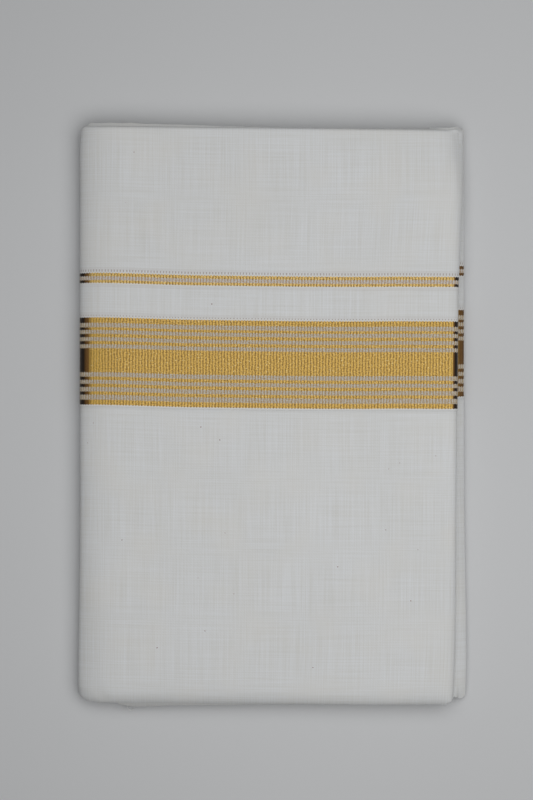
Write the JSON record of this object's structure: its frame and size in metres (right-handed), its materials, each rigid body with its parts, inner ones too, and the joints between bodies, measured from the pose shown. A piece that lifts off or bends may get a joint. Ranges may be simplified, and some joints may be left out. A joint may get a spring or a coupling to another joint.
{
  "type": "folded dhoti cloth",
  "caption": "White cotton dhoti with a woven gold border, folded and pressed into a flat oblong packet with layered edges.",
  "frame": {"origin": "on the surface that the packet lies on, under the middle of its box", "axes": "+X across the packet, from the last fold at the left to the open ends at the right; +Y up the packet, along its long sides, towards the folded edge that the bordered flap hangs from; +Z away from the surface, out of the face that shows"},
  "size_m": [0.1672, 0.2504, 0.013],
  "materials": {
    "bordered_cotton": "white woven cotton with a border of metallic gold thread",
    "plain_cotton": "plain white woven cotton, faint slubs",
    "layered_cotton": "folded edges of plain white woven cotton"
  },
  "bodies": {
    "root": {"border_flap": "bordered_cotton", "outer_panel": "plain_cotton", "lower_end_flap": "bordered_cotton", "lower_end_panel": "plain_cotton", "folded_layers": "layered_cotton"}
  },
  "joints": []
}
